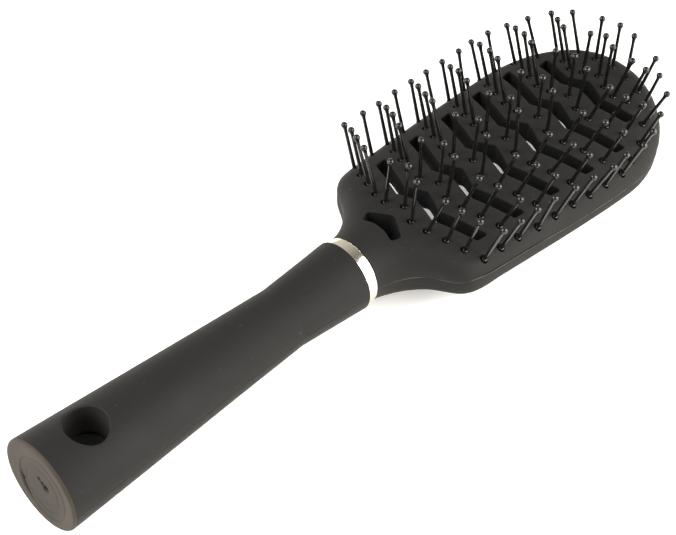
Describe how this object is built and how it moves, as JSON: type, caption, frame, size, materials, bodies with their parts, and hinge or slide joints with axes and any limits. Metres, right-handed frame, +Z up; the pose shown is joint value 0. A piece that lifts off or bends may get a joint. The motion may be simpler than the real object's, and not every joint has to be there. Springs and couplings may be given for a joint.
{
  "type": "vent_brush",
  "caption": "Vent hair brush with zigzag air slots, ball-tipped nylon pins leaning outwards, a bright ring and an oval soft-touch handle with a hanging hole",
  "frame": {"origin": "Centre of the bounding box in plan, at the lowest point of the handle's end: the brush lies on its back with its pins up.", "axes": "+X runs from the handle's end to the head's tip, +Y to the brush's left seen from the handle with the pins up, +Z up out of the face that carries the pins."},
  "size_m": [0.2273, 0.069, 0.0397],
  "materials": {
    "coat": "soft-touch matte coating",
    "nylon": "glossy",
    "chrome": "polished",
    "plug": "satin"
  },
  "bodies": {
    "root": {"front_plate": "coat", "back_shell": "coat", "pin_comb_near": "nylon", "pin_comb_far": "nylon", "pin_clip_1": "nylon", "pin_clip_2": "nylon", "pin_clip_3": "nylon", "pin_clip_4": "nylon", "pin_clip_5": "nylon", "pin_clip_6": "nylon", "pin_clip_7": "nylon", "ferrule_ring": "chrome", "grip_front": "coat", "grip_back": "coat", "end_plug": "plug"}
  },
  "joints": []
}
